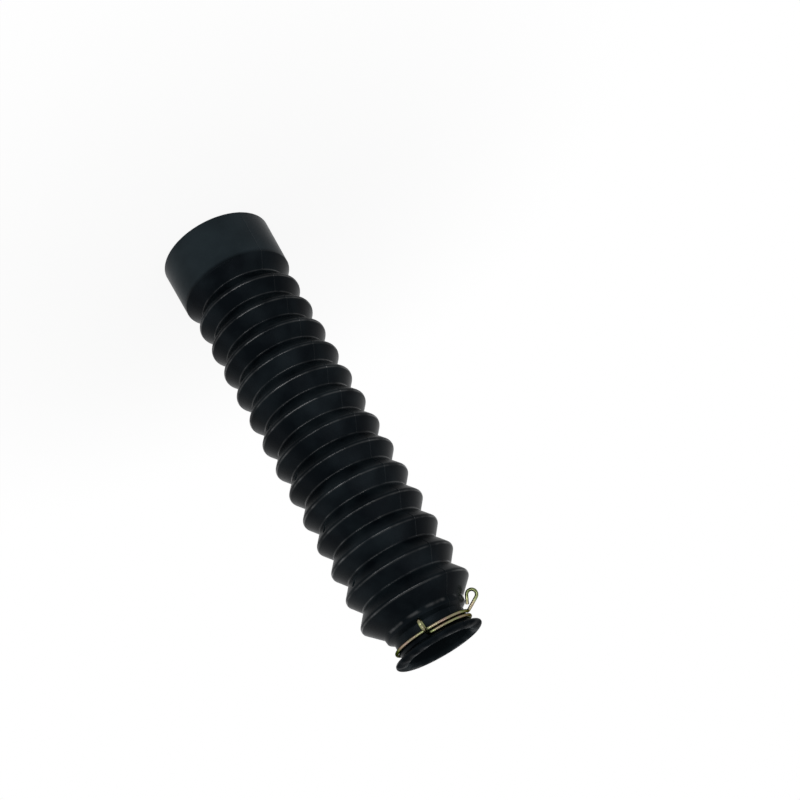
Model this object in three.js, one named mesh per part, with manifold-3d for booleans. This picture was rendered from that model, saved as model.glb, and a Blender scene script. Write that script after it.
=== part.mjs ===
// A motorcycle fork gaiter: a pleated rubber boot that covers a fork leg, with the spring wire clip
// that grips its small neck. Millimetres, +Z up. The boot stands on its wide collar, as it does on the
// fork. The origin is the centre of the collar's mouth, and the axis of the boot is the Z axis.
// The mould's parting plane is x = 0, and the breather holes lie along +X.
import * as THREE from "three";
import { mergeVertices } from "three/addons/utils/BufferGeometryUtils.js";
import Module from "manifold-3d";

// Collar, which grips the fork's lower leg
const COLLAR_MOUTH_RADIUS = 32.8;
const COLLAR_TOP_RADIUS = 32.2; // the collar narrows a little towards the pleats, for the mould
const COLLAR_HEIGHT = 29.2;
const COLLAR_WALL = 2.3;
const COLLAR_EDGE = 0.5; // broken edge at the mouth and at the shoulder

// Pleats
const PLEATS = 13;
const PLEAT_PITCH = 16.1;
const CREST_RADIUS = 31;
const VALLEY_RADIUS = 25.7;
const CREST_ROUND = 2.3;
const VALLEY_ROUND = 1.2;
const PLEAT_WALL = 1.8;
const LEAST_ROUND = 0.3; // the inner crests stay at least this round, however thick the wall is
const SHOULDER_HEIGHT = 7.8; // from the collar's top edge to the first valley

// Bead, neck and lip at the small end, which grip the fork's upper tube
const CONE_HEIGHT = 9; // from the last crest to the bead
const CONE_WALL = 2.3;
const BEAD_RADIUS = 22.9;
const BEAD_HEIGHT = 3.2;
const BEAD_DRAFT = 0.6; // the bead is this much narrower at its upper edge
const STEP_HEIGHT = 2; // from the bead's upper edge to the foot of the neck
const NECK_RADIUS = 19.6;
const NECK_WALL = 2.1;
const NECK_HEIGHT = 8.2;
const LIP_RADIUS = 24.4;
const LIP_HEIGHT = 4.3; // from the top of the neck to the end face
const LIP_ROUND = 1.1;
const LIP_CROWN_RADIUS = 4; // of the softer rounding between the rim and the flat of the end face
const LIP_CROWN_START = 50; // degrees above the outward direction at which it takes over
const LIP_UNDERSIDE = 56; // degrees below the outward direction at which the lip's rounding starts
const MOUTH_FLARE = 1.9; // how far the bore opens out at the lip

// Breather holes: a teardrop in the collar side of every second pleat
const HOLE_RADIUS = 1.5;
const HOLE_LENGTH = 4.6;
const PLEATS_PER_HOLE = 2;
const HOLE_SETBACK = 0.4; // from the crest's rounding to the hole's edge, along the flank
const HOLE_CUT = 3; // how far the cutter reaches to each side of the flank
const HOLE_STEPS = 5;

// Wire clip
const WIRE_DIAMETER = 1.8;
const CLIP_CLEARANCE = 0.3; // between the wire and the neck
const RUN_CLEARANCE = 0.5; // between the two turns where they pass each other
const CLIP_HEIGHT = 4.9; // from the foot of the neck to the middle of the clip
const CLIP_TILT_HEIGHT = 1; // the clip sits askew: so much nearer the lip at its front
const CLIP_FRONT = 311; // degrees round the axis from +X to the front of the clip
const FRONT_EAR_ANGLE = 311;
const SIDE_EAR_ANGLE = 230;
const FRONT_EAR_LEAN = 64; // degrees from the axis to the line through the eye
const SIDE_EAR_LEAN = 43;
const EAR_SPLAY = 8; // degrees by which the plane of the front ear turns away from the side ear
const EYE_REACH = 8.6; // from the wire's turn to the centre of the eye
const EYE_RADIUS = 2.6; // of the wire's centreline
const EYE_OPENING = 3.6; // between the free end and the root of the ear
const EAR_BEND_RADIUS = 1.6; // of the bend from the turn into the ear

// How finely the round forms are divided
const SIDES = 32;
const CREST_STEPS = 3;
const VALLEY_STEPS = 2;
const RIM_STEPS = 2;
const CROWN_STEPS = 2;
const MOUTH_STEPS = 3;
const WIRE_SIDES = 8;
const DEGREES_PER_STEP = 9;
const BEND_STEPS = 4;
const EYE_STEPS = 9;

const BLACK_RUBBER = new THREE.MeshStandardMaterial({
  color: 0x17191b,
  roughness: 0.5,
  metalness: 0,
});
const YELLOW_ZINC = new THREE.MeshStandardMaterial({
  color: 0xb8a468,
  roughness: 0.3,
  metalness: 1,
});

// Heights that the sizes above give
const FIRST_CREST = COLLAR_HEIGHT + SHOULDER_HEIGHT + PLEAT_PITCH / 2;
const LAST_CREST = FIRST_CREST + (PLEATS - 1) * PLEAT_PITCH;
const BEAD_BOTTOM = LAST_CREST + CONE_HEIGHT;
const BEAD_TOP = BEAD_BOTTOM + BEAD_HEIGHT;
const NECK_BOTTOM = BEAD_TOP + STEP_HEIGHT;
const NECK_TOP = NECK_BOTTOM + NECK_HEIGHT;
const TOTAL_HEIGHT = NECK_TOP + LIP_HEIGHT;

// The angle of a flank to the axis: the line that touches the crest's and the valley's rounding.
function flankAngle() {
  const rounds = CREST_ROUND + VALLEY_ROUND;
  const rise = CREST_RADIUS - VALLEY_RADIUS - rounds;
  const run = PLEAT_PITCH / 2;
  return Math.atan2(rise, run) + Math.asin(rounds / Math.hypot(rise, run));
}

const FLANK = flankAngle();

// Points of an arc in the profile's plane. Angles start at the outward direction and turn to +Z.
function arc(radius, centreR, centreZ, from, to, steps) {
  return Array.from({ length: steps + 1 }, (_, i) => {
    const angle = from + ((to - from) * i) / steps;
    const r = centreR + radius * Math.cos(angle);
    return new THREE.Vector2(r, centreZ + radius * Math.sin(angle));
  });
}

// The pleats of one skin, from the first valley to the last crest. The inner skin is the outer one
// set back by the wall: its arcs have the same centres.
function pleatSkin(wall) {
  const crestRound = Math.max(CREST_ROUND - wall, LEAST_ROUND);
  const valleyRound = VALLEY_ROUND + wall;
  const crestCentre = CREST_RADIUS - CREST_ROUND;
  const valleyCentre = VALLEY_RADIUS + VALLEY_ROUND;
  const points = [];
  for (let i = 0; i < PLEATS; i++) {
    const crest = FIRST_CREST + i * PLEAT_PITCH;
    const valley = crest - PLEAT_PITCH / 2;
    const crestSteps = wall ? 1 : CREST_STEPS;
    points.push(
      ...arc(valleyRound, valleyCentre, valley, Math.PI + FLANK, Math.PI - FLANK, VALLEY_STEPS),
      ...arc(crestRound, crestCentre, crest, -FLANK, FLANK, crestSteps),
    );
  }
  return points;
}

function outerSkin() {
  const topEdge = COLLAR_HEIGHT - COLLAR_EDGE;
  const rimStart = -THREE.MathUtils.degToRad(LIP_UNDERSIDE);
  const crownStart = THREE.MathUtils.degToRad(LIP_CROWN_START);
  const apart = LIP_CROWN_RADIUS - LIP_ROUND;
  const crownR = LIP_RADIUS - LIP_ROUND - apart * Math.cos(crownStart);
  const crownZ = TOTAL_HEIGHT - LIP_CROWN_RADIUS;
  const rimZ = crownZ + apart * Math.sin(crownStart);
  return [
    new THREE.Vector2(COLLAR_MOUTH_RADIUS, 0),
    new THREE.Vector2(COLLAR_TOP_RADIUS, topEdge),
    new THREE.Vector2(COLLAR_TOP_RADIUS - COLLAR_EDGE, COLLAR_HEIGHT),
    ...pleatSkin(0),
    new THREE.Vector2(BEAD_RADIUS, BEAD_BOTTOM),
    new THREE.Vector2(BEAD_RADIUS - BEAD_DRAFT, BEAD_TOP),
    new THREE.Vector2(NECK_RADIUS, NECK_BOTTOM),
    new THREE.Vector2(NECK_RADIUS, NECK_TOP),
    ...arc(LIP_ROUND, LIP_RADIUS - LIP_ROUND, rimZ, rimStart, crownStart, RIM_STEPS),
    ...arc(LIP_CROWN_RADIUS, crownR, crownZ, crownStart, Math.PI / 2, CROWN_STEPS).slice(1),
  ];
}

function innerSkin() {
  const neckBore = NECK_RADIUS - NECK_WALL;
  return [
    new THREE.Vector2(neckBore, NECK_BOTTOM),
    new THREE.Vector2(BEAD_RADIUS - BEAD_DRAFT - NECK_WALL, BEAD_TOP - STEP_HEIGHT / 2),
    new THREE.Vector2(BEAD_RADIUS - CONE_WALL, BEAD_BOTTOM - STEP_HEIGHT / 2),
    ...pleatSkin(PLEAT_WALL).reverse(),
    new THREE.Vector2(COLLAR_TOP_RADIUS - COLLAR_WALL, COLLAR_HEIGHT - COLLAR_WALL),
    new THREE.Vector2(COLLAR_MOUTH_RADIUS - COLLAR_WALL, 0),
  ];
}

// The bore's rounded mouth at the lip, from the end face down into the neck.
function boreMouth() {
  const neckBore = NECK_RADIUS - NECK_WALL;
  return Array.from({ length: MOUTH_STEPS + 1 }, (_, i) => {
    const angle = (Math.PI / 2) * (i / MOUTH_STEPS);
    const open = MOUTH_FLARE * (1 - Math.sin(angle));
    return new THREE.Vector2(neckBore + open, TOTAL_HEIGHT - MOUTH_FLARE * (1 - Math.cos(angle)));
  });
}

// A closed three.js geometry as a solid for joining and cutting.
const wasm = await Module();
wasm.setup();

function solidFrom(geometry) {
  const bare = geometry.clone();
  bare.deleteAttribute("normal");
  bare.deleteAttribute("uv");
  const merged = mergeVertices(bare, 1e-4);
  return new wasm.Manifold(
    new wasm.Mesh({
      numProp: 3,
      vertProperties: merged.attributes.position.array,
      triVerts: new Uint32Array(merged.index.array),
    }),
  );
}

function geometryFrom(solid) {
  const { numProp, vertProperties, triVerts } = solid.getMesh();
  const count = vertProperties.length / numProp;
  const positions = new Float32Array(count * 3);
  for (let i = 0; i < count; i++) {
    positions.set(vertProperties.subarray(i * numProp, i * numProp + 3), i * 3);
  }
  const geometry = new THREE.BufferGeometry();
  geometry.setAttribute("position", new THREE.BufferAttribute(positions, 3));
  geometry.setIndex(new THREE.BufferAttribute(triVerts, 1));
  geometry.computeVertexNormals();
  return geometry;
}

// A prism with a teardrop section. It stands across the collar side of a pleat, with its round end
// next to the crest and its point towards the valley.
function teardropCutter(crest) {
  const tail = HOLE_LENGTH - HOLE_RADIUS;
  const touch = Math.acos(HOLE_RADIUS / tail);
  const shape = new THREE.Shape();
  shape.moveTo(-tail, 0);
  shape.absarc(0, 0, HOLE_RADIUS, Math.PI + touch, Math.PI - touch, false);
  shape.closePath();
  const geometry = new THREE.ExtrudeGeometry(shape, {
    depth: 2 * HOLE_CUT,
    bevelEnabled: false,
    curveSegments: HOLE_STEPS,
  });
  geometry.translate(0, 0, -HOLE_CUT);
  const alongFlank = new THREE.Vector3(Math.sin(FLANK), 0, Math.cos(FLANK));
  const acrossFlank = new THREE.Vector3(Math.cos(FLANK), 0, -Math.sin(FLANK));
  const sideways = new THREE.Vector3().crossVectors(acrossFlank, alongFlank);
  const flankTop = new THREE.Vector3(
    CREST_RADIUS - CREST_ROUND + CREST_ROUND * Math.cos(FLANK),
    0,
    crest - CREST_ROUND * Math.sin(FLANK),
  );
  const place = flankTop.addScaledVector(alongFlank, -HOLE_SETBACK - HOLE_RADIUS);
  geometry.applyMatrix4(
    new THREE.Matrix4().makeBasis(alongFlank, sideways, acrossFlank).setPosition(place),
  );
  return geometry;
}

function rubberBoot() {
  const profile = [...outerSkin(), ...boreMouth(), ...innerSkin()];
  profile.push(profile[0].clone());
  const lathe = new THREE.LatheGeometry(profile, SIDES);
  lathe.rotateX(Math.PI / 2);
  let solid = solidFrom(lathe);
  for (let i = PLEATS_PER_HOLE - 1; i < PLEATS; i += PLEATS_PER_HOLE) {
    solid = solid.subtract(solidFrom(teardropCutter(FIRST_CREST + i * PLEAT_PITCH)));
  }
  const mesh = new THREE.Mesh(geometryFrom(solid), BLACK_RUBBER);
  mesh.name = "rubber_boot";
  return mesh;
}

// A curve through points that are already spaced as its bends need, so it keeps their spacing.
class SpacedCurve extends THREE.CatmullRomCurve3 {
  getUtoTmapping(u) {
    return u;
  }
}

// One ear: the wire bends out of its turn into the plane of the axis, runs to the eye, goes round it
// and comes back on the side of the pleats. The points run from the root to the free end.
function earPoints(root, along, outward, lean) {
  const axial = new THREE.Vector3(0, 0, -1);
  const inPlane = (angle) =>
    outward.clone().multiplyScalar(Math.sin(angle)).addScaledVector(axial, Math.cos(angle));
  const half = Math.asin(EYE_RADIUS / EYE_REACH);
  const legLength = Math.sqrt(EYE_REACH ** 2 - EYE_RADIUS ** 2);
  const leg = inPlane(lean + half);
  const start = root.clone().addScaledVector(along, EAR_BEND_RADIUS);
  const eye = start.clone().addScaledVector(inPlane(lean), EYE_REACH);
  const points = [];
  for (let i = 1; i <= BEND_STEPS; i++) {
    const turn = (Math.PI / 2) * (i / BEND_STEPS);
    points.push(
      root
        .clone()
        .addScaledVector(along, EAR_BEND_RADIUS * Math.sin(turn))
        .addScaledVector(leg, EAR_BEND_RADIUS * (1 - Math.cos(turn))),
    );
  }
  points.push(start.clone().addScaledVector(leg, (EAR_BEND_RADIUS + legLength) / 2));
  const sweep = Math.PI + 2 * half;
  for (let i = 0; i <= EYE_STEPS; i++) {
    const angle = lean + half + Math.PI / 2 - (sweep * i) / EYE_STEPS;
    points.push(eye.clone().addScaledVector(inPlane(angle), EYE_RADIUS));
  }
  const back = inPlane(lean - half);
  points.push(start.clone().addScaledVector(back, (legLength + EYE_OPENING) / 2));
  points.push(start.clone().addScaledVector(back, EYE_OPENING));
  return points;
}

// The clip's turn starts at the front ear, on the lip's side, and winds down by one wire and its
// clearance for each turn until it reaches the side ear. The whole turn is tilted on the neck.
function clipPoints() {
  const radius = NECK_RADIUS + CLIP_CLEARANCE + WIRE_DIAMETER / 2;
  const dropPerTurn = WIRE_DIAMETER + RUN_CLEARANCE;
  const sweep = 360 + FRONT_EAR_ANGLE - SIDE_EAR_ANGLE;
  const top = NECK_BOTTOM + CLIP_HEIGHT + (dropPerTurn * sweep) / 720;
  const steps = Math.round(sweep / DEGREES_PER_STEP);
  const outwardAt = (degrees) => {
    const angle = THREE.MathUtils.degToRad(degrees);
    return new THREE.Vector3(Math.cos(angle), Math.sin(angle), 0);
  };
  const front = outwardAt(CLIP_FRONT);
  const turn = Array.from({ length: steps + 1 }, (_, i) => {
    const turned = (sweep * i) / steps;
    const outward = outwardAt(FRONT_EAR_ANGLE - turned);
    const height = top - (dropPerTurn * turned) / 360 + CLIP_TILT_HEIGHT * outward.dot(front);
    return outward.multiplyScalar(radius).setZ(height);
  });
  const up = new THREE.Vector3(0, 0, 1);
  const frontOut = outwardAt(FRONT_EAR_ANGLE);
  const sideOut = outwardAt(SIDE_EAR_ANGLE);
  const splayed = outwardAt(FRONT_EAR_ANGLE + EAR_SPLAY);
  const intoFront = new THREE.Vector3().crossVectors(up, frontOut);
  const intoSide = new THREE.Vector3().crossVectors(sideOut, up);
  const frontLean = THREE.MathUtils.degToRad(FRONT_EAR_LEAN);
  const sideLean = THREE.MathUtils.degToRad(SIDE_EAR_LEAN);
  const frontEar = earPoints(turn[0], intoFront, splayed, frontLean).reverse();
  const sideEar = earPoints(turn[turn.length - 1], intoSide, sideOut, sideLean);
  return [...frontEar, ...turn, ...sideEar];
}

function neckClip() {
  const points = clipPoints();
  const section = new THREE.Shape().absarc(0, 0, WIRE_DIAMETER / 2, 0, 2 * Math.PI, false);
  const geometry = new THREE.ExtrudeGeometry(section, {
    steps: points.length - 1,
    curveSegments: WIRE_SIDES / 2,
    extrudePath: new SpacedCurve(points),
    bevelEnabled: false,
  });
  const mesh = new THREE.Mesh(geometryFrom(solidFrom(geometry)), YELLOW_ZINC);
  mesh.name = "neck_clip";
  return mesh;
}

const gaiter = new THREE.Group();
gaiter.add(rubberBoot(), neckClip());

export default gaiter;
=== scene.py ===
"""Looks of a motorcycle fork gaiter: a pleated rubber boot and the spring wire clip on its neck.

Blender works in metres, and sizes are written here as millimetres times MM. The boot stands on its
wide collar, its axis is the Z axis, and the two halves of its mould met in the plane x = 0.
"""

import math

import bpy
from bpy.props import FloatProperty, FloatVectorProperty, IntProperty, PointerProperty
from mathutils import Matrix, Vector


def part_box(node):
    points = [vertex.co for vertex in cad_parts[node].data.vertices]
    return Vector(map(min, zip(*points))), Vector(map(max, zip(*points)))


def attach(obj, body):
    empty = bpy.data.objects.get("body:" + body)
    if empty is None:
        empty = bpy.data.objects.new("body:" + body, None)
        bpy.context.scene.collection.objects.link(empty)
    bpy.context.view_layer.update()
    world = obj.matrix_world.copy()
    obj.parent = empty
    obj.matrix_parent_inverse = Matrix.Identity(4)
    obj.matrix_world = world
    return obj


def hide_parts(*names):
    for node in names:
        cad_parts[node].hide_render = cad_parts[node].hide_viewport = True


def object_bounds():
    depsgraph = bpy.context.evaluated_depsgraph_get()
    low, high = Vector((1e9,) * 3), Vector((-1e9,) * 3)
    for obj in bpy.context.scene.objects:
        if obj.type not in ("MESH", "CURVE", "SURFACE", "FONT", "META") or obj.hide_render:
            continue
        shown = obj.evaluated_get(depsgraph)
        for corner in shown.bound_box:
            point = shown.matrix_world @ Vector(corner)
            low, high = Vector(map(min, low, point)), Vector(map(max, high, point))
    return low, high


bl_info = {
    "name": "Fork gaiter",
    "version": (1, 0, 0),
    "blender": (4, 5, 0),
    "location": "View3D > Sidebar > Gaiter",
    "description": "Makes a pleated rubber fork gaiter with its wire clip, and a studio round it",
    "category": "Object",
}

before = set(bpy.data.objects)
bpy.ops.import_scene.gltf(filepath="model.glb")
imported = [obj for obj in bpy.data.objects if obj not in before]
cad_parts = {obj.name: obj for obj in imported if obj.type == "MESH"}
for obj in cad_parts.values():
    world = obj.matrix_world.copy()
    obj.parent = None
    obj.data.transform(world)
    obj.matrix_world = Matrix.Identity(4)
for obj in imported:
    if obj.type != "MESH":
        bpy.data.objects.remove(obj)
CAD_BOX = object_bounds()

MM = 0.001
BODY = "root"
BOOT_NODE = "rubber_boot"
CLIP_NODE = "neck_clip"
PHOTO_WIDTH = 800
SENSOR_WIDTH = 36
FLOOR_REACH = 4000 * MM
WELD_DISTANCE = 0.001 * MM
WHITE = (1, 1, 1, 1)

# How many straight steps stand for a curve, and how far round each step of the clip's turn goes
CORNER_STEPS = 4
HOLE_STEPS = 24
EAR_BEND_STEPS = 8
EYE_STEPS = 24
TURN_STEP = math.radians(3)


def length(name, description, millimetres):
    """A length that a user may change, in metres."""
    return FloatProperty(
        name=name, description=description, default=millimetres * MM, unit="LENGTH"
    )


def angle(name, description, degrees):
    """An angle that a user may change."""
    return FloatProperty(
        name=name, description=description, default=math.radians(degrees), subtype="ANGLE"
    )


def linear(hex_colour):
    """The linear RGBA of an sRGB hex colour."""
    channels = [int(hex_colour[i : i + 2], 16) / 255 for i in (1, 3, 5)]
    return [c / 12.92 if c <= 0.04045 else ((c + 0.055) / 1.055) ** 2.4 for c in channels] + [1]


def colour(name, description, hex_colour):
    """A colour that a user may change."""
    return FloatVectorProperty(
        name=name,
        description=description,
        default=linear(hex_colour),
        size=4,
        min=0,
        max=1,
        subtype="COLOR",
    )


class BootSizes(bpy.types.PropertyGroup):
    """Sizes of the rubber boot. Radii are measured from its axis."""

    collar_mouth_radius: length("Collar mouth radius", "Outside radius at the mouth", 32.8)
    collar_top_radius: length("Collar top radius", "Outside radius below the shoulder", 32.2)
    collar_height: length("Collar height", "From the mouth to the shoulder's edge", 29.2)
    collar_wall: length("Collar wall", "Thickness of the collar", 2.3)
    collar_edge: length("Collar edge", "Rounding between the collar and its shoulder", 1.1)
    shoulder_height: length("Shoulder height", "From the collar's edge to the first valley", 7.8)
    pleats: IntProperty(name="Pleats", description="How many pleats", default=13, min=2)
    pleat_pitch: length("Pleat pitch", "From one crest to the next", 16.1)
    crest_radius: length("Crest radius", "Outside radius of a crest", 31)
    valley_radius: length("Valley radius", "Outside radius of a valley", 25.7)
    crest_round: length("Crest rounding", "Radius of the bend over a crest", 2.3)
    valley_round: length("Valley rounding", "Radius of the bend in a valley", 1.2)
    pleat_wall: length("Pleat wall", "Thickness of the pleats", 1.8)
    cone_height: length("Cone height", "From the last crest to the bead", 9)
    cone_wall: length("Cone wall", "Thickness under the bead", 2.3)
    bead_radius: length("Bead radius", "Outside radius of the bead", 22.9)
    bead_height: length("Bead height", "Height of the bead", 3.2)
    bead_draft: length("Bead draft", "How far the bead narrows upwards", 0.6)
    step_height: length("Step height", "From the bead to the foot of the neck", 2)
    neck_radius: length("Neck radius", "Outside radius of the neck", 19.6)
    neck_wall: length("Neck wall", "Thickness of the neck", 2.1)
    neck_height: length("Neck height", "Height of the groove that the clip sits in", 8.2)
    lip_radius: length("Lip radius", "Outside radius of the lip", 24.4)
    lip_height: length("Lip height", "From the neck's top to the end face", 4.3)
    lip_round: length("Lip rounding", "Radius of the lip's edge", 1.1)
    lip_underside: angle("Lip underside", "Where the edge's rounding starts", -56)
    lip_crown_start: angle("Lip crown start", "Where the crown's softer rounding takes over", 50)
    lip_crown_radius: length("Lip crown radius", "From the edge to the flat of the end face", 4)
    mouth_flare: length("Mouth flare", "How far the bore opens out at the lip", 1.9)
    small_round: length("Small rounding", "Rounding of the other corners", 0.4)
    mould_line_height: length("Mould line height", "How far the parting line stands proud", 0.25)
    mould_line_width: length("Mould line width", "Width of the parting line", 0.7)
    unevenness: length("Unevenness", "How far soft rubber strays from its true shape", 0.12)
    uneven_size: length("Uneven size", "Width of the waves in soft rubber", 30)
    hole_radius: length("Hole radius", "Radius of a breather hole's round end", 1.5)
    hole_length: length("Hole length", "Length of a breather hole down the flank", 4.6)
    hole_setback: length("Hole setback", "From the crest's bend to the hole", 0.4)
    hole_reach: length("Hole reach", "How far the cut goes to each side of the flank", 3)
    hole_every: IntProperty(name="Pleats per hole", description="Pleats per hole", default=2, min=1)
    sides: IntProperty(name="Sides", description="Faces round the boot", default=216, min=12)
    crowding: FloatProperty(
        name="Crowding", description="How much closer faces lie by the parting line", default=0.4
    )
    bend_steps: IntProperty(name="Bend steps", description="Faces over a bend", default=8, min=2)
    sharp_angle: angle("Sharp angle", "Edges that turn more than this are drawn sharp", 40)


class ClipSizes(bpy.types.PropertyGroup):
    """Sizes of the wire clip. Angles round the axis are measured from the X axis."""

    wire_diameter: length("Wire diameter", "Thickness of the spring wire", 1.8)
    clearance: length("Clearance", "From the neck to the wire", 0.3)
    run_clearance: length("Clearance of turns", "Between the two turns where they pass", 0.5)
    height: length("Height", "From the foot of the neck to the middle of the clip", 4.9)
    tilt_height: length("Tilt height", "How much nearer the lip the clip sits at its front", 1)
    front: angle("Front", "Which side of the clip is its front", 311)
    front_angle: angle("Front ear angle", "Where the front ear starts", 311)
    side_angle: angle("Side ear angle", "Where the side ear starts", 230)
    front_lean: angle("Front ear lean", "From the axis to the ear's middle line", 64)
    side_lean: angle("Side ear lean", "From the axis to the ear's middle line", 43)
    splay: angle("Splay", "How far the front ear turns away from the side ear", 8)
    eye_reach: length("Eye reach", "From the turn to the middle of the eye", 8.6)
    eye_radius: length("Eye radius", "Radius of the wire's middle line in the eye", 2.6)
    eye_opening: length("Eye opening", "From the wire's free end to the ear's root", 3.6)
    ear_bend: length("Ear bend", "Radius of the bend from the turn into the ear", 1.6)
    end_round: length("End rounding", "How far from its end the sheared wire narrows", 0.4)
    end_share: FloatProperty(
        name="End share", description="Share of the wire's radius at its end", default=0.72
    )
    wire_step: length("Wire step", "Length of a face along the wire", 0.3)
    sides: IntProperty(name="Sides", description="Faces round the wire", default=24, min=6)
    sharp_angle: angle("Sharp angle", "Edges that turn more than this are drawn sharp", 50)


class Finishes(bpy.types.PropertyGroup):
    """Colours and gloss of the rubber and of the plated wire."""

    rubber: colour("Rubber", "Colour of the moulded rubber", "#04070A")
    # Painted sheen: this colour also lightens the collar, standing in for the highlight on it
    rubber_bloom_and_sheen: colour("Rubber bloom", "Colour of the faint haze on the rubber", "#222A2E")
    rubber_roughness: FloatProperty(
        name="Rubber roughness", description="0 is polished", default=0.33, subtype="FACTOR"
    )
    rubber_specular: FloatProperty(
        name="Rubber specular",
        description="0.5 is a smooth plastic",
        default=0.035,
        subtype="FACTOR",
    )
    bend_gloss: FloatProperty(
        name="Bend gloss", description="On the bends of the pleats", default=0.6, subtype="FACTOR"
    )
    zinc: colour("Yellow zinc", "Main colour of the passivated zinc", "#7E825E")
    zinc_green: colour("Green tint", "Tint where the film is thicker", "#5C6442")
    zinc_pink: colour("Pink tint", "Tint where the film is thinner", "#8A766B")
    zinc_roughness: FloatProperty(
        name="Zinc roughness", description="0 is polished", default=0.24, subtype="FACTOR"
    )


class Studio(bpy.types.PropertyGroup):
    """The camera, which stands where the photograph was taken from, and the light."""

    camera_distance: length("Camera distance", "From the boot's axis, level", 599.2)
    camera_height: length("Camera height", "Above the floor", 380.2)
    camera_side: angle("Camera side", "Angle round the axis from the X axis", 311)
    camera_pan: angle("Camera pan", "How far the view is turned off the axis", 4.44)
    camera_tilt: angle("Camera tilt", "How far the view looks down", 21.97)
    camera_roll: angle("Camera roll", "How far the camera is rolled", 148.93)
    focal_pixels: FloatProperty(
        name="Focal length", description="In pixels of the photograph", default=1196.85
    )
    fill: FloatProperty(name="Fill", description="Strength of the even light", default=0.4)
    front_power: FloatProperty(name="Front power", description="Power", default=4.2, unit="POWER")
    key_power: FloatProperty(name="Key power", description="Power", default=1.5, unit="POWER")
    rim_power: FloatProperty(name="Rim power", description="Power", default=0.4, unit="POWER")


def add(tree, kind, inputs=None, **settings):
    """Adds a node with its settings. An input is a value, or a socket to link it to."""
    node = tree.nodes.new(kind)
    for name, value in settings.items():
        setattr(node, name, value)
    for key, value in (inputs or {}).items():
        if isinstance(value, bpy.types.NodeSocket):
            tree.links.new(value, node.inputs[key])
        else:
            node.inputs[key].default_value = value
    return node


def geometry_tree(name, sockets):
    """A Geometry Nodes tree that takes a geometry and the named inputs, and gives a geometry."""
    tree = bpy.data.node_groups.new(name, "GeometryNodeTree")
    for label, kind in {"Geometry": "Geometry", **sockets}.items():
        tree.interface.new_socket(label, in_out="INPUT", socket_type=f"NodeSocket{kind}")
    tree.interface.new_socket("Geometry", in_out="OUTPUT", socket_type="NodeSocketGeometry")
    return tree, add(tree, "NodeGroupInput").outputs


def finish_tree(tree, geometry, sharp_angle, material):
    """Ends a tree in plain geometry, smooth but for its sharp edges, with its material."""
    smooth = add(tree, "GeometryNodeSetShadeSmooth", {"Geometry": geometry})
    bend = add(tree, "GeometryNodeInputMeshEdgeAngle").outputs["Unsigned Angle"]
    sharp = add(
        tree, "FunctionNodeCompare", {0: bend, 1: sharp_angle}, operation="GREATER_THAN"
    ).outputs[0]
    crisp = add(
        tree,
        "GeometryNodeSetShadeSmooth",
        {"Geometry": smooth.outputs[0], "Selection": sharp, "Shade Smooth": False},
        domain="EDGE",
    )
    realized = add(tree, "GeometryNodeRealizeInstances", {"Geometry": crisp.outputs[0]})
    painted = add(
        tree, "GeometryNodeSetMaterial", {"Geometry": realized.outputs[0], "Material": material}
    )
    add(tree, "NodeGroupOutput", {"Geometry": painted.outputs[0]})


def object_from(name, vertices, edges=(), faces=()):
    """A mesh object at the origin."""
    mesh = bpy.data.meshes.new(name)
    mesh.from_pydata(vertices, edges, faces)
    made = bpy.data.objects.new(name, mesh)
    bpy.context.scene.collection.objects.link(made)
    return made


def grown(base, tree, values, name):
    """The plain mesh object that a tree makes of a base object. The base goes."""
    modifier = base.modifiers.new(tree.name, "NODES")
    modifier.node_group = tree
    for item in tree.interface.items_tree:
        if item.in_out == "INPUT" and item.name in values:
            modifier[item.identifier] = values[item.name]
    depsgraph = bpy.context.evaluated_depsgraph_get()
    mesh = bpy.data.meshes.new_from_object(base.evaluated_get(depsgraph), depsgraph=depsgraph)
    base.modifiers.remove(modifier)
    bpy.data.objects.remove(base)
    if not mesh.polygons:
        raise RuntimeError(f"{tree.name} made nothing")
    mesh.name = name
    piece = bpy.data.objects.new(name, mesh)
    bpy.context.scene.collection.objects.link(piece)
    return piece


def arc(radius, centre_r, centre_z, start, stop, steps):
    """Profile points on an arc. Angles start at the outward direction and turn to +Z."""
    turns = [start + (stop - start) * i / steps for i in range(steps + 1)]
    return [(centre_r + radius * math.cos(t), centre_z + radius * math.sin(t)) for t in turns]


def rounded(before, corner, after, radius, steps=CORNER_STEPS):
    """Profile points of the arc that rounds a corner between two straight stretches."""
    corner = Vector(corner)
    back = (Vector(before) - corner).normalized()
    ahead = (Vector(after) - corner).normalized()
    half = back.angle(ahead) / 2
    centre = corner + (back + ahead).normalized() * radius / math.sin(half)
    start = corner + back * radius / math.tan(half) - centre
    stop = corner + ahead * radius / math.tan(half) - centre
    sweep = start.angle_signed(stop)
    return [
        tuple(centre + Matrix.Rotation(-sweep * i / steps, 2) @ start) for i in range(steps + 1)
    ]


def flank_angle(size):
    """The angle of a flank to the axis: the line that touches a crest's and a valley's bend."""
    rounds = size.crest_round + size.valley_round
    rise = size.crest_radius - size.valley_radius - rounds
    run = size.pleat_pitch / 2
    return math.atan2(rise, run) + math.asin(rounds / math.hypot(rise, run))


def first_crest(size):
    """Height of the lowest crest."""
    return size.collar_height + size.shoulder_height + size.pleat_pitch / 2


def bead_bottom(size):
    """Height of the bead's lower edge."""
    return first_crest(size) + (size.pleats - 1) * size.pleat_pitch + size.cone_height


def neck_bottom(size):
    """Height of the neck's foot."""
    return bead_bottom(size) + size.bead_height + size.step_height


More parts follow.
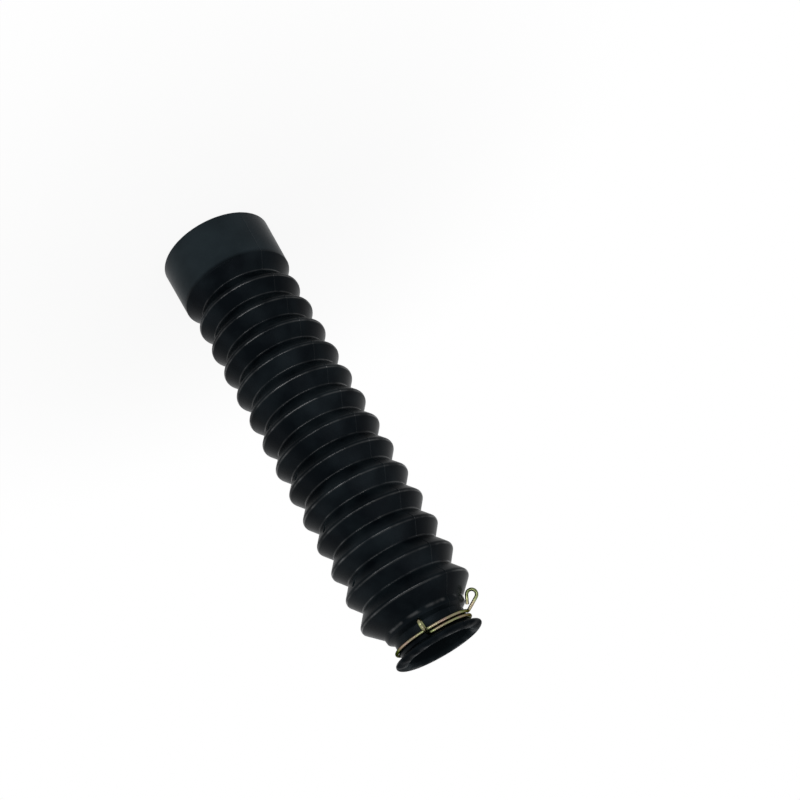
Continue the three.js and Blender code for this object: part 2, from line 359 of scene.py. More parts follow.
def pleat_skin(size, wall):
    """The pleats of one skin, from the first valley to the last crest."""
    flank = flank_angle(size)
    crest_round = size.crest_round - wall
    valley_round = size.valley_round + wall
    crest_centre = size.crest_radius - size.crest_round
    valley_centre = size.valley_radius + size.valley_round
    points = []
    for i in range(size.pleats):
        crest = first_crest(size) + i * size.pleat_pitch
        valley = crest - size.pleat_pitch / 2
        steps = size.bend_steps // 2 if wall else size.bend_steps
        start, stop = math.pi + flank, math.pi - flank
        points += arc(valley_round, valley_centre, valley, start, stop, steps)
        points += arc(crest_round, crest_centre, crest, -flank, flank, steps)
    return points


def outer_skin(size):
    """Profile points of the outside, from the collar's mouth to the lip's end face."""
    mouth = (size.collar_mouth_radius, 0)
    collar_top = (size.collar_top_radius, size.collar_height)
    pleats = pleat_skin(size, 0)
    bead = bead_bottom(size)
    bead_top = bead + size.bead_height
    neck = neck_bottom(size)
    neck_top = neck + size.neck_height
    end = neck_top + size.lip_height
    bead_low = (size.bead_radius, bead)
    bead_high = (size.bead_radius - size.bead_draft, bead_top)
    neck_low = (size.neck_radius, neck)
    neck_high = (size.neck_radius, neck_top)
    apart = size.lip_crown_radius - size.lip_round
    crown_start = size.lip_crown_start
    crown_z = end - size.lip_crown_radius
    rim_r = size.lip_radius - size.lip_round
    rim_z = crown_z + apart * math.sin(crown_start)
    crown_r = rim_r - apart * math.cos(crown_start)
    rim = arc(size.lip_round, rim_r, rim_z, size.lip_underside, crown_start, size.bend_steps)
    crown = arc(size.lip_crown_radius, crown_r, crown_z, crown_start, math.pi / 2, size.bend_steps)
    return [
        *rounded((0, 0), mouth, collar_top, size.small_round),
        *rounded(mouth, collar_top, pleats[0], size.collar_edge, size.bend_steps),
        *pleats,
        *rounded(pleats[-1], bead_low, bead_high, 2 * size.small_round),
        *rounded(bead_low, bead_high, neck_low, 2 * size.small_round),
        *rounded(bead_high, neck_low, neck_high, 2 * size.small_round),
        *rounded(neck_low, neck_high, rim[0], 2 * size.small_round),
        *rim,
        *crown[1:],
    ]


def inner_skin(size):
    """Profile points of the inside, from the lip's end face down to the collar's mouth."""
    neck_bore = size.neck_radius - size.neck_wall
    bead = bead_bottom(size)
    bead_top = bead + size.bead_height
    end = neck_bottom(size) + size.neck_height + size.lip_height
    flare = arc(
        size.mouth_flare,
        neck_bore + size.mouth_flare,
        end - size.mouth_flare,
        math.pi / 2,
        math.pi,
        size.bend_steps,
    )
    collar_top = (size.collar_top_radius - size.collar_wall, size.collar_height - size.collar_wall)
    mouth = (size.collar_mouth_radius - size.collar_wall, 0)
    return [
        *flare,
        (neck_bore, neck_bottom(size)),
        (size.bead_radius - size.bead_draft - size.neck_wall, bead_top - size.step_height / 2),
        (size.bead_radius - size.cone_wall, bead - size.step_height / 2),
        *reversed(pleat_skin(size, size.pleat_wall)),
        collar_top,
        *rounded(collar_top, mouth, (size.collar_mouth_radius, 0), size.small_round),
    ]


def teardrop(size):
    """The cutter of the lowest breather hole: a prism across the collar side of a pleat."""
    tail = size.hole_length - size.hole_radius
    touch = math.acos(size.hole_radius / tail)
    section = arc(size.hole_radius, 0, 0, math.pi + touch, 3 * math.pi - touch, HOLE_STEPS)
    section.append((-tail, 0))
    flank = flank_angle(size)
    along = Vector((math.sin(flank), 0, math.cos(flank)))
    across = Vector((math.cos(flank), 0, -math.sin(flank)))
    sideways = across.cross(along)
    crest = first_crest(size) + (size.hole_every - 1) * size.pleat_pitch
    bend_end = Vector(
        (
            size.crest_radius - size.crest_round + size.crest_round * math.cos(flank),
            0,
            crest - size.crest_round * math.sin(flank),
        )
    )
    place = bend_end - along * (size.hole_setback + size.hole_radius)
    count = len(section)
    vertices = [
        place + along * u + sideways * v + across * side * size.hole_reach
        for side in (-1, 1)
        for u, v in section
    ]
    walls = [(i, (i + 1) % count, (i + 1) % count + count, i + count) for i in range(count)]
    caps = [tuple(range(count))[::-1], tuple(range(count, 2 * count))]
    return object_from("hole_cutter", vertices, faces=walls + caps)


def boot_tree():
    """Turns a profile into the boot: revolves it, adds the parting line and pierces the holes."""
    tree, given = geometry_tree(
        "Moulded boot",
        {
            "Sides": "Int",
            "Crowding": "Float",
            "Line height": "Float",
            "Line width": "Float",
            "Limit": "Float",
            "Unevenness": "Float",
            "Uneven size": "Float",
            "Cutter": "Object",
            "Holes": "Int",
            "Hole spacing": "Vector",
            "Sharp angle": "Float",
            "Material": "Material",
        },
    )
    profile = given["Geometry"]
    domain = add(tree, "GeometryNodeAttributeDomainSize", {"Geometry": profile})
    count = domain.outputs["Point Count"]
    rows = add(tree, "ShaderNodeMath", {0: count, 1: 1}, operation="ADD").outputs[0]
    columns = add(tree, "ShaderNodeMath", {0: given["Sides"], 1: 1}, operation="ADD").outputs[0]
    grid = add(tree, "GeometryNodeMeshGrid", {"Vertices X": columns, "Vertices Y": rows})

    # Which vertex of the profile each vertex of the grid stands for, and how far round the boot
    index = add(tree, "GeometryNodeInputIndex").outputs[0]
    share = add(tree, "ShaderNodeMath", {0: index, 1: rows}, operation="DIVIDE").outputs[0]
    column = add(tree, "ShaderNodeMath", {0: share}, operation="FLOOR").outputs[0]
    row = add(tree, "ShaderNodeMath", {0: index, 1: rows}, operation="MODULO").outputs[0]
    source = add(tree, "ShaderNodeMath", {0: row, 1: count}, operation="MODULO").outputs[0]
    turn = add(
        tree, "ShaderNodeMath", {0: column, 1: given["Sides"]}, operation="DIVIDE"
    ).outputs[0]
    even = add(tree, "ShaderNodeMath", {0: turn, 1: math.tau}, operation="MULTIPLY").outputs[0]
    double = add(tree, "ShaderNodeMath", {0: even, 1: 2}, operation="MULTIPLY").outputs[0]
    swing = add(tree, "ShaderNodeMath", {0: double}, operation="SINE").outputs[0]
    crowded = add(
        tree, "ShaderNodeMath", {0: swing, 1: given["Crowding"], 2: even}, operation="MULTIPLY_ADD"
    ).outputs[0]
    place = add(
        tree,
        "GeometryNodeSampleIndex",
        {
            "Geometry": profile,
            "Value": add(tree, "GeometryNodeInputPosition").outputs[0],
            "Index": source,
        },
        data_type="FLOAT_VECTOR",
    ).outputs[0]
    outside = add(
        tree,
        "GeometryNodeSampleIndex",
        {
            "Geometry": profile,
            "Value": add(tree, "GeometryNodeInputNamedAttribute", {"Name": "outside"}).outputs[0],
            "Index": source,
        },
    ).outputs[0]
    round_axis = add(
        tree, "ShaderNodeVectorRotate", {"Vector": place, "Angle": crowded}, rotation_type="Z_AXIS"
    ).outputs[0]

    # The parting line stands proud where the skin meets the plane x = 0
    apart = add(tree, "ShaderNodeSeparateXYZ", {0: round_axis}).outputs["X"]
    from_plane = add(tree, "ShaderNodeMath", {0: apart}, operation="ABSOLUTE").outputs[0]
    half_line = add(
        tree, "ShaderNodeMath", {0: given["Line width"], 1: 0.5}, operation="MULTIPLY"
    ).outputs[0]
    line = add(
        tree,
        "ShaderNodeMapRange",
        {
            "Value": from_plane,
            "From Max": half_line,
            "To Min": given["Line height"],
            "To Max": 0,
        },
        interpolation_type="SMOOTHSTEP",
    ).outputs[0]
    proud = add(tree, "ShaderNodeMath", {0: line, 1: outside}, operation="MULTIPLY").outputs[0]

    # Soft rubber strays a little from its true shape
    waves = add(
        tree, "ShaderNodeMath", {0: 1, 1: given["Uneven size"]}, operation="DIVIDE"
    ).outputs[0]
    wander = add(
        tree, "ShaderNodeTexNoise", {"Vector": round_axis, "Scale": waves, "Detail": 1}
    ).outputs["Fac"]
    centred = add(tree, "ShaderNodeMath", {0: wander, 1: 0.5}, operation="SUBTRACT").outputs[0]
    strayed = add(
        tree,
        "ShaderNodeMath",
        {0: centred, 1: given["Unevenness"], 2: proud},
        operation="MULTIPLY_ADD",
    ).outputs[0]
    true_place = add(tree, "ShaderNodeSeparateXYZ", {0: place}).outputs
    radius = add(
        tree, "ShaderNodeMath", {0: true_place["X"], 1: strayed}, operation="ADD"
    ).outputs[0]
    inside_box = add(
        tree, "ShaderNodeMath", {0: radius, 1: given["Limit"]}, operation="MINIMUM"
    ).outputs[0]
    moulded = add(
        tree, "ShaderNodeCombineXYZ", {"X": inside_box, "Z": true_place["Z"]}
    ).outputs[0]
    position = add(
        tree,
        "ShaderNodeVectorRotate",
        {"Vector": moulded, "Angle": crowded},
        rotation_type="Z_AXIS",
    ).outputs[0]
    skin = add(
        tree, "GeometryNodeSetPosition", {"Geometry": grid.outputs["Mesh"], "Position": position}
    )
    marked = add(
        tree,
        "GeometryNodeStoreNamedAttribute",
        {"Geometry": skin.outputs[0], "Name": "outside", "Value": outside},
    )
    closed = add(
        tree,
        "GeometryNodeMergeByDistance",
        {"Geometry": marked.outputs[0], "Distance": WELD_DISTANCE},
    )

    # The breather holes, one over the other
    cutter = add(tree, "GeometryNodeObjectInfo", {"Object": given["Cutter"]})
    line_of_holes = add(
        tree, "GeometryNodeMeshLine", {"Count": given["Holes"], "Offset": given["Hole spacing"]}
    )
    cutters = add(
        tree,
        "GeometryNodeInstanceOnPoints",
        {"Points": line_of_holes.outputs[0], "Instance": cutter.outputs["Geometry"]},
    )
    loose = add(tree, "GeometryNodeRealizeInstances", {"Geometry": cutters.outputs[0]})
    pierced = add(
        tree,
        "GeometryNodeMeshBoolean",
        {"Mesh 1": closed.outputs[0], "Mesh 2": loose.outputs[0]},
        operation="DIFFERENCE",
        solver="EXACT",
    )
    finish_tree(tree, pierced.outputs["Mesh"], given["Sharp angle"], given["Material"])
    return tree


def outward_at(turn, lift=0):
    """The direction away from the middle, at an angle round the Z axis and one above level."""
    level = math.cos(lift)
    return Vector((math.cos(turn) * level, math.sin(turn) * level, math.sin(lift)))


def ear_points(size, root, along, outward, lean):
    """One ear of the clip, from its root on the turn to the wire's free end."""

    def in_plane(turn):
        return outward * math.sin(turn) - Vector((0, 0, math.cos(turn)))

    half = math.asin(size.eye_radius / size.eye_reach)
    leg_length = math.sqrt(size.eye_reach**2 - size.eye_radius**2)
    leg = in_plane(lean + half)
    start = root + along * size.ear_bend
    eye = start + in_plane(lean) * size.eye_reach
    points = []
    for i in range(1, EAR_BEND_STEPS + 1):
        turn = math.pi / 2 * i / EAR_BEND_STEPS
        points.append(
            root
            + along * size.ear_bend * math.sin(turn)
            + leg * size.ear_bend * (1 - math.cos(turn))
        )
    sweep = math.pi + 2 * half
    for i in range(EYE_STEPS + 1):
        turn = lean + half + math.pi / 2 - sweep * i / EYE_STEPS
        points.append(eye + in_plane(turn) * size.eye_radius)
    points.append(start + in_plane(lean - half) * size.eye_opening)
    return points


def turn_radius(size, boot):
    """From the axis to the middle of the clip's wire."""
    return boot.neck_radius + size.clearance + size.wire_diameter / 2


def clip_points(size, boot):
    """The middle line of the clip's wire, from the front ear's free end to the side ear's."""
    radius = turn_radius(size, boot)
    sweep = math.tau + size.front_angle - size.side_angle
    drop = (size.wire_diameter + size.run_clearance) * sweep / math.tau
    top = neck_bottom(boot) + size.height + drop / 2
    steps = round(sweep / TURN_STEP)
    front = outward_at(size.front)
    up = Vector((0, 0, 1))
    turn = []
    for i in range(steps + 1):
        outward = outward_at(size.front_angle - sweep * i / steps)
        height = top - drop * i / steps + size.tilt_height * outward.dot(front)
        turn.append(outward * radius + up * height)
    into_front = up.cross(outward_at(size.front_angle))
    into_side = outward_at(size.side_angle).cross(up)
    splayed = outward_at(size.front_angle + size.splay)
    front_ear = ear_points(size, turn[0], into_front, splayed, size.front_lean)
    side_ear = ear_points(size, turn[-1], into_side, outward_at(size.side_angle), size.side_lean)
    return [*reversed(front_ear), *turn, *side_ear]


def wire_tree():
    """Turns a line into round wire with sheared, slightly rounded ends."""
    tree, given = geometry_tree(
        "Spring wire",
        {
            "Radius": "Float",
            "Sides": "Int",
            "Step": "Float",
            "End rounding": "Float",
            "End share": "Float",
            "Sharp angle": "Float",
            "Material": "Material",
        },
    )
    line = add(tree, "GeometryNodeMeshToCurve", {"Mesh": given["Geometry"]})
    spaced = add(
        tree,
        "GeometryNodeResampleCurve",
        {"Curve": line.outputs[0], "Length": given["Step"]},
        mode="LENGTH",
    )
    along = add(tree, "GeometryNodeSplineParameter").outputs["Length"]
    whole = add(tree, "GeometryNodeSplineLength").outputs["Length"]
    left = add(tree, "ShaderNodeMath", {0: whole, 1: along}, operation="SUBTRACT").outputs[0]
    to_end = add(tree, "ShaderNodeMath", {0: along, 1: left}, operation="MINIMUM").outputs[0]
    share = add(
        tree,
        "ShaderNodeMapRange",
        {
            "Value": to_end,
            "From Max": given["End rounding"],
            "To Min": given["End share"],
            "To Max": 1,
        },
        interpolation_type="SMOOTHSTEP",
    ).outputs[0]
    thick = add(tree, "GeometryNodeSetCurveRadius", {"Curve": spaced.outputs[0], "Radius": share})
    section = add(
        tree,
        "GeometryNodeCurvePrimitiveCircle",
        {"Resolution": given["Sides"], "Radius": given["Radius"]},
    )
    wire = add(
        tree,
        "GeometryNodeCurveToMesh",
        {"Curve": thick.outputs[0], "Profile Curve": section.outputs["Curve"], "Fill Caps": True},
    )
    finish_tree(tree, wire.outputs[0], given["Sharp angle"], given["Material"])
    return tree


def material_with_tree(name):
    """An empty node material and its tree."""
    material = bpy.data.materials.new(name)
    material.use_nodes = True
    material.node_tree.nodes.clear()
    return material, material.node_tree


def soft_band(tree, value, middle, reach):
    """1 where a value is at the middle, falling softly to 0 at its reach on both sides."""
    apart = add(tree, "ShaderNodeMath", {0: value, 1: middle}, operation="SUBTRACT").outputs[0]
    away = add(tree, "ShaderNodeMath", {0: apart}, operation="ABSOLUTE").outputs[0]
    return add(
        tree,
        "ShaderNodeMapRange",
        {"Value": away, "From Max": reach, "To Min": 1, "To Max": 0},
        interpolation_type="SMOOTHSTEP",
    ).outputs[0]


def moulded_rubber(finishes, size):
    """Carbon black rubber from a steam cured mould: deep black and satin, glossier on its bends."""
    material, tree = material_with_tree("moulded_black_rubber")
    place = add(tree, "ShaderNodeTexCoord").outputs["Object"]
    height = add(tree, "ShaderNodeSeparateXYZ", {0: place}).outputs["Z"]
    # Painted sheen: the collar, which isn't folded, is coloured lighter as far as 3 mm below
    # its shoulder, standing in for the soft highlight on it. Faint bloom drifts over patches
    # about 18 mm wide everywhere, and breaks the painted sheen up.
    patches = add(
        tree, "ShaderNodeTexNoise", {"Vector": place, "Scale": 1 / (18 * MM), "Detail": 3}
    ).outputs["Fac"]
    drift = add(
        tree,
        "ShaderNodeMapRange",
        {"Value": patches, "From Min": 0.4, "From Max": 0.7, "To Max": 0.3},
    ).outputs[0]
    # Painted sheen on the collar, fading out 3 mm below its shoulder
    painted_collar_sheen = add(
        tree,
        "ShaderNodeMapRange",
        {
            "Value": height,
            "From Min": size.collar_height - 3 * MM,
            "From Max": size.collar_height,
            "To Min": 0.6,
            "To Max": 0,
        },
        interpolation_type="SMOOTHSTEP",
    ).outputs[0]
    outer = add(tree, "ShaderNodeMath", {0: drift, 1: painted_collar_sheen}, operation="ADD").outputs[0]
    # Inside, the rubber gets no gloss on its bends and is coloured lighter, 0.3 of the way towards
    # the bloom colour
    outside = add(tree, "ShaderNodeAttribute", attribute_name="outside").outputs["Fac"]
    lighter_inside = {"Value": outside, "To Min": 0.3, "To Max": 0}
    inner = add(tree, "ShaderNodeMapRange", lighter_inside).outputs[0]
    sheen_and_bloom = add(tree, "ShaderNodeMath", {0: outer, 1: inner}, operation="ADD").outputs[0]
    tone = add(
        tree,
        "ShaderNodeMix",
        {"Factor": sheen_and_bloom, "A": finishes.rubber, "B": finishes.rubber_bloom_and_sheen},
        data_type="RGBA",
    )
    # The mould's grain is about 0.1 mm, drawn at 0.5 mm so that it shows
    grain = add(
        tree, "ShaderNodeTexNoise", {"Vector": place, "Scale": 1 / (0.5 * MM), "Detail": 2}
    ).outputs["Fac"]
    bump = add(
        tree, "ShaderNodeBump", {"Height": grain, "Strength": 0.15, "Distance": 0.05 * MM}
    ).outputs[0]
    # Folding stretches the skin smooth along each crest, and less so along each valley, on the
    # small end's side
    valley_share = 0.6
    above = add(
        tree, "ShaderNodeMath", {0: height, 1: first_crest(size)}, operation="SUBTRACT"
    ).outputs[0]
    # Height above the nearest crest, from a quarter of a pitch under it to where the next one starts
    in_pleat = add(
        tree,
        "ShaderNodeMath",
        {0: above, 1: 0.75 * size.pleat_pitch, 2: -0.25 * size.pleat_pitch},
        operation="WRAP",
    ).outputs[0]
    crest_shine = soft_band(tree, in_pleat, 0.25 * size.crest_round, 0.7 * MM)
    valley_shine = soft_band(
        tree, in_pleat, size.pleat_pitch / 2 - 0.25 * size.valley_round, 0.5 * MM
    )
    lines = add(
        tree,
        "ShaderNodeMath",
        {0: valley_shine, 1: valley_share, 2: crest_shine},
        operation="MULTIPLY_ADD",
    ).outputs[0]
    # It is stretched unevenly, over lengths of about 9 mm
    stretch = add(
        tree, "ShaderNodeTexNoise", {"Vector": place, "Scale": 1 / (9 * MM), "Detail": 3}
    ).outputs["Fac"]
    stretched = add(
        tree,
        "ShaderNodeMapRange",
        {"Value": stretch, "From Min": 0.38, "From Max": 0.62, "To Min": 0.15, "To Max": 1.2},
    ).outputs[0]
    broken = add(tree, "ShaderNodeMath", {0: lines, 1: stretched}, operation="MULTIPLY").outputs[0]
    # Only the pleats are folded
    folds_start = size.collar_height + size.shoulder_height / 2
    folds_end = bead_bottom(size) - size.cone_height / 2
    folded = add(
        tree,
        "ShaderNodeMath",
        {0: height, 1: (folds_start + folds_end) / 2, 2: (folds_end - folds_start) / 2},
        operation="COMPARE",
    ).outputs[0]
    fold_shine = add(
        tree, "ShaderNodeMath", {0: broken, 1: folded}, operation="MULTIPLY"
    ).outputs[0]
    # The clip's ears pull the bead in beside them, so it shines there in patches about 6 mm long,
    # and more than the folds do
    bead_share = 1.5
    ears_turn = math.radians(18)
    on_bead = soft_band(tree, height, bead_bottom(size) + size.bead_height / 3, 1.2 * MM)
    beside_ears = add(
        tree,
        "ShaderNodeVectorRotate",
        {"Vector": place, "Angle": ears_turn},
        rotation_type="Z_AXIS",
    ).outputs[0]
    pulls = add(
        tree, "ShaderNodeTexNoise", {"Vector": beside_ears, "Scale": 1 / (6 * MM), "Detail": 1}
    ).outputs["Fac"]
    pulled = add(
        tree,
        "ShaderNodeMapRange",
        {"Value": pulls, "From Min": 0.45, "From Max": 0.68},
        interpolation_type="SMOOTHSTEP",
    ).outputs[0]
    bead_shine = add(
        tree, "ShaderNodeMath", {0: on_bead, 1: pulled}, operation="MULTIPLY"
    ).outputs[0]
    both_shine = add(
        tree,
        "ShaderNodeMath",
        {0: bead_shine, 1: bead_share, 2: fold_shine},
        operation="MULTIPLY_ADD",
    ).outputs[0]
    shine = add(
        tree, "ShaderNodeMath", {0: both_shine, 1: finishes.bend_gloss}, operation="MULTIPLY"
    ).outputs[0]
    coat = add(tree, "ShaderNodeMath", {0: shine, 1: outside}, operation="MULTIPLY").outputs[0]
    # The lip's face is where the flash was trimmed, so it is rough, and in patches quite matt
    trimmed = add(
        tree,
        "ShaderNodeMapRange",
        {"Value": pulls, "From Min": 0.4, "From Max": 0.65, "To Min": 0.9, "To Max": 0.5},
    ).outputs[0]
    lip_end = neck_bottom(size) + size.neck_height + size.lip_height
    roughness = add(
        tree,
        "ShaderNodeMapRange",
        {
            "Value": height,
            "From Min": lip_end - 2 * size.lip_round,
            "From Max": lip_end - size.lip_round,
            "To Min": finishes.rubber_roughness,
            "To Max": trimmed,
        },
    ).outputs[0]
    # Black rubber reflects faintly. Its reflections are tinted a little blue: a painted tint that
    # stands in for the cool colour of the light.
    shader = add(
        tree,
        "ShaderNodeBsdfPrincipled",
        {
            "Base Color": tone.outputs["Result"],
            "Roughness": roughness,
            "Specular IOR Level": finishes.rubber_specular,
            "Specular Tint": linear("#DCEBFC"),
            "Coat Weight": coat,
            "Coat Roughness": 0.2,
            "Normal": bump,
        },
    )
    add(tree, "ShaderNodeOutputMaterial", {"Surface": shader.outputs[0]})
    return material


def yellow_zinc(finishes, radius):
    """Bright zinc plate with a yellow chromate film, whose thickness tints it green and pink."""
    material, tree = material_with_tree("yellow_passivated_zinc")
    place = add(tree, "ShaderNodeTexCoord").outputs["Object"]
    # The film's colour changes over about 9 mm
    film = add(
        tree, "ShaderNodeTexNoise", {"Vector": place, "Scale": 1 / (9 * MM), "Detail": 2}
    ).outputs["Fac"]
    ramp = add(tree, "ShaderNodeValToRGB", {"Fac": film})
    ramp.color_ramp.elements[0].position = 0.36
    ramp.color_ramp.elements[0].color = finishes.zinc_green
    ramp.color_ramp.elements[1].position = 0.66
    ramp.color_ramp.elements[1].color = finishes.zinc_pink
    ramp.color_ramp.elements.new(0.5).color = finishes.zinc
    # The coiling rolls leave fine ribs across the wire, about 0.8 mm apart, on some stretches
    across = add(tree, "ShaderNodeSeparateXYZ", {0: place}).outputs
    turn = add(
        tree, "ShaderNodeMath", {0: across["Y"], 1: across["X"]}, operation="ARCTAN2"
    ).outputs[0]
    ribs_round = round(math.tau * radius / (0.8 * MM))
    phase = add(tree, "ShaderNodeMath", {0: turn, 1: ribs_round}, operation="MULTIPLY").outputs[0]
    ribs = add(tree, "ShaderNodeMath", {0: phase}, operation="SINE").outputs[0]
    marked = add(
        tree,
        "ShaderNodeMapRange",
        {"Value": film, "From Min": 0.45, "From Max": 0.6},
        interpolation_type="SMOOTHSTEP",
    ).outputs[0]
    # Handling leaves fine marks, about 0.6 mm apart
    marks = add(
        tree, "ShaderNodeTexNoise", {"Vector": place, "Scale": 1 / (0.6 * MM), "Detail": 2}
    ).outputs["Fac"]
    relief = add(
        tree, "ShaderNodeMath", {0: ribs, 1: marked, 2: marks}, operation="MULTIPLY_ADD"
    ).outputs[0]
    bump = add(
        tree, "ShaderNodeBump", {"Height": relief, "Strength": 0.3, "Distance": 0.05 * MM}
    ).outputs[0]
    # They spread the gloss a little to both sides
    spread = 0.06
    gloss = add(
        tree,
        "ShaderNodeMapRange",
        {
            "Value": marks,
            "To Min": finishes.zinc_roughness - spread,
            "To Max": finishes.zinc_roughness + spread,
        },
    ).outputs[0]
    # The film tints what the wire reflects along its edges, and the tint is dark as well: painted
    # shade that stands in for dark surroundings reflected there.
    shader = add(
        tree,
        "ShaderNodeBsdfPrincipled",
        {
            "Base Color": ramp.outputs["Color"],
            "Metallic": 1,
            "Specular Tint": linear("#6A6C50"),
            "Roughness": gloss,
            "Normal": bump,
        },
    )
    add(tree, "ShaderNodeOutputMaterial", {"Surface": shader.outputs[0]})
    return material


def mirror_and_camera(tree):
    """1 for the rays that show the background: the camera's, a reflection's or a refraction's."""
    rays = add(tree, "ShaderNodeLightPath").outputs
    shown = add(
        tree,
        "ShaderNodeMath",
        {0: rays["Is Camera Ray"], 1: rays["Is Glossy Ray"]},
        operation="MAXIMUM",
    ).outputs[0]
    return add(
        tree,
        "ShaderNodeMath",
        {0: shown, 1: rays["Is Transmission Ray"]},
        operation="MAXIMUM",
    ).outputs[0]


def white_paper():
    """Matt white sweep paper. It glows a little for the camera, so it fades into the background."""
    material, tree = material_with_tree("white_sweep_paper")
    place = add(tree, "ShaderNodeTexCoord").outputs["Object"]
    out = add(tree, "ShaderNodeVectorMath", {0: place}, operation="LENGTH").outputs["Value"]
    glow = add(
        tree,
        "ShaderNodeMapRange",
        {"Value": out, "From Min": 50 * MM, "From Max": 300 * MM, "To Min": 0.9, "To Max": 1},
        interpolation_type="SMOOTHSTEP",
    ).outputs[0]
    shown = add(
        tree, "ShaderNodeMath", {0: glow, 1: mirror_and_camera(tree)}, operation="MULTIPLY"
    ).outputs[0]
    paper = add(
        tree,
        "ShaderNodeBsdfPrincipled",
        {"Base Color": linear("#F4F4F2"), "Roughness": 0.9, "Specular IOR Level": 0.1},
    )
    light = add(tree, "ShaderNodeEmission", {"Color": WHITE, "Strength": 1})
    both = add(
        tree, "ShaderNodeMixShader", {0: shown, 1: paper.outputs[0], 2: light.outputs[0]}
    )
    add(tree, "ShaderNodeOutputMaterial", {"Surface": both.outputs[0]})
    return material


def hand_over(piece, node):
    """Gives a finished piece to the frame in place of a CAD node."""
    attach(piece, BODY)
    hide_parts(node)


class GAITER_OT_rubber_boot(bpy.types.Operator):
    """Make the pleated rubber boot"""

    bl_idname = "gaiter.rubber_boot"
    bl_label = "Rubber boot"

    def execute(self, context):
        size = context.scene.gaiter_boot
        outside = outer_skin(size)
        inside = inner_skin(size)
        points = outside + inside
        vertices = [(r, 0, z) for r, z in points]
        edges = [(i, (i + 1) % len(points)) for i in range(len(points))]
        base = object_from("profile", vertices, edges)
        skin = base.data.attributes.new("outside", "FLOAT", "POINT")
        skin.data.foreach_set("value", [1] * len(outside) + [0] * len(inside))
        cutter = teardrop(size)
        spacing = size.hole_every * size.pleat_pitch
        piece = grown(
            base,
            boot_tree(),
            {
                "Sides": size.sides,
                "Crowding": size.crowding,
                "Line height": size.mould_line_height,
                "Line width": size.mould_line_width,
                "Limit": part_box(BOOT_NODE)[1].x,
                "Unevenness": size.unevenness,
                "Uneven size": size.uneven_size,
                "Cutter": cutter,
                "Holes": size.pleats // size.hole_every,
                "Hole spacing": (0, 0, spacing),
                "Sharp angle": size.sharp_angle,
                "Material": moulded_rubber(context.scene.gaiter_finishes, size),
            },
            "boot",
        )
        bpy.data.objects.remove(cutter)
        hand_over(piece, BOOT_NODE)
        return {"FINISHED"}


class GAITER_OT_wire_clip(bpy.types.Operator):
    """Make the spring wire clip"""

    bl_idname = "gaiter.wire_clip"
    bl_label = "Wire clip"

    def execute(self, context):
        size = context.scene.gaiter_clip
        boot = context.scene.gaiter_boot
        points = clip_points(size, boot)
        edges = [(i, i + 1) for i in range(len(points) - 1)]
        piece = grown(
            object_from("wire_line", points, edges),
            wire_tree(),
            {
                "Radius": size.wire_diameter / 2,
                "Sides": size.sides,
                "Step": size.wire_step,
                "End rounding": size.end_round,
                "End share": size.end_share,
                "Sharp angle": size.sharp_angle,
                "Material": yellow_zinc(context.scene.gaiter_finishes, turn_radius(size, boot)),
            },
            "clip",
        )
        hand_over(piece, CLIP_NODE)
        return {"FINISHED"}


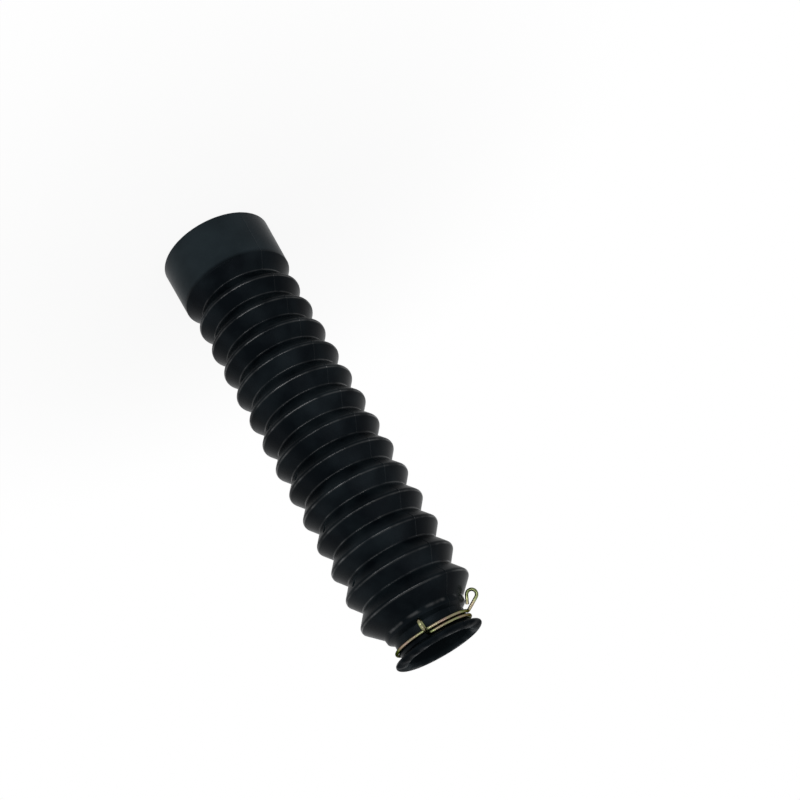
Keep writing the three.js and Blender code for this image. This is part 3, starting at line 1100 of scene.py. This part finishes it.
class GAITER_OT_studio(bpy.types.Operator):
    """Make the floor, the light and the camera"""

    bl_idname = "gaiter.studio"
    bl_label = "Studio"

    def execute(self, context):
        studio = context.scene.gaiter_studio
        signs = ((-1, -1), (1, -1), (1, 1), (-1, 1))
        corners = [(x * FLOOR_REACH, y * FLOOR_REACH, 0) for x, y in signs]
        floor = object_from("floor", corners, faces=[(0, 1, 2, 3)])
        floor.data.materials.append(white_paper())
        self.make_world(studio)
        self.make_lights(studio)
        self.make_camera(studio)
        context.scene.view_settings.view_transform = "Standard"
        return {"FINISHED"}

    def make_world(self, studio):
        """An even white surround for the camera and reflections, and a soft fill for the rest."""
        world = bpy.data.worlds.new("studio")
        world.use_nodes = True
        tree = world.node_tree
        tree.nodes.clear()
        strength = add(
            tree,
            "ShaderNodeMapRange",
            {"Value": mirror_and_camera(tree), "To Min": studio.fill, "To Max": 1},
        ).outputs[0]
        surround = add(tree, "ShaderNodeBackground", {"Color": WHITE, "Strength": strength})
        add(tree, "ShaderNodeOutputWorld", {"Surface": surround.outputs[0]})
        bpy.context.scene.world = world

    def make_lights(self, studio):
        """A long low lamp before the boot, a key above it and a strip on its left."""
        self.add_lamp(
            "front", studio.front_power, side=318, lift=3, distance=0.9, width=1.2, height=0.08
        )
        self.add_lamp(
            "key", studio.key_power, side=274, lift=50, distance=0.9, width=0.8, height=0.2
        )
        self.add_lamp(
            "left_strip", studio.rim_power, side=35, lift=15, distance=0.6, width=0.15, height=0.6
        )

    def add_lamp(self, name, power, side, lift, distance, width, height):
        """A rectangular lamp that faces the boot's middle. Angles in degrees, lengths in metres."""
        lamp = bpy.data.lights.new(name, "AREA")
        lamp.shape = "RECTANGLE"
        lamp.size = width
        lamp.size_y = height
        lamp.energy = power
        holder = bpy.data.objects.new(name, lamp)
        bpy.context.scene.collection.objects.link(holder)
        middle = Vector((0, 0, (CAD_BOX[0].z + CAD_BOX[1].z) / 2))
        out = outward_at(math.radians(side), math.radians(lift))
        turn = out.to_track_quat("Z", "Y").to_matrix().to_4x4()
        holder.matrix_world = Matrix.Translation(middle + out * distance) @ turn

    def make_camera(self, studio):
        """The photograph's view of the boot, rolled as the boot lies in it."""
        camera = bpy.data.cameras.new("camera")
        camera.sensor_width = SENSOR_WIDTH
        camera.lens = studio.focal_pixels / PHOTO_WIDTH * SENSOR_WIDTH
        camera.clip_start = 10 * MM
        holder = bpy.data.objects.new("camera", camera)
        bpy.context.scene.collection.objects.link(holder)
        roll = studio.camera_roll
        back = outward_at(studio.camera_side + studio.camera_pan, studio.camera_tilt)
        level_right = Vector((0, 0, 1)).cross(back).normalized()
        level_up = back.cross(level_right)
        right = level_right * math.cos(roll) + level_up * math.sin(roll)
        up = level_up * math.cos(roll) - level_right * math.sin(roll)
        place = outward_at(studio.camera_side) * studio.camera_distance
        place.z = studio.camera_height
        turn = Matrix((right, up, back)).transposed().to_4x4()
        holder.matrix_world = Matrix.Translation(place) @ turn
        bpy.context.scene.camera = holder


class GAITER_PT_panel(bpy.types.Panel):
    """Sizes, finishes and steps of the gaiter"""

    bl_idname = "GAITER_PT_panel"
    bl_label = "Fork gaiter"
    bl_space_type = "VIEW_3D"
    bl_region_type = "UI"
    bl_category = "Gaiter"

    def draw(self, context):
        groups = {
            "gaiter.rubber_boot": context.scene.gaiter_boot,
            "gaiter.wire_clip": context.scene.gaiter_clip,
            "gaiter.studio": context.scene.gaiter_studio,
        }
        for name in Finishes.__annotations__:
            self.layout.prop(context.scene.gaiter_finishes, name)
        for operator, group in groups.items():
            box = self.layout.box()
            for name in type(group).__annotations__:
                box.prop(group, name)
            box.operator(operator)


GROUPS = {
    "gaiter_boot": BootSizes,
    "gaiter_clip": ClipSizes,
    "gaiter_finishes": Finishes,
    "gaiter_studio": Studio,
}
OPERATORS = (GAITER_OT_rubber_boot, GAITER_OT_wire_clip, GAITER_OT_studio)


def register():
    """Registers the property groups, the operators and the panel."""
    for name, group in GROUPS.items():
        bpy.utils.register_class(group)
        setattr(bpy.types.Scene, name, PointerProperty(type=group))
    for kind in (*OPERATORS, GAITER_PT_panel):
        bpy.utils.register_class(kind)


def unregister():
    """Takes back what register did, in the opposite order."""
    for kind in (GAITER_PT_panel, *reversed(OPERATORS)):
        bpy.utils.unregister_class(kind)
    for name, group in reversed(GROUPS.items()):
        delattr(bpy.types.Scene, name)
        bpy.utils.unregister_class(group)


def main():
    """Makes the stage and both pieces."""
    register()
    bpy.ops.gaiter.studio()
    bpy.ops.gaiter.rubber_boot()
    bpy.ops.gaiter.wire_clip()


if __name__ == "__main__":
    main()
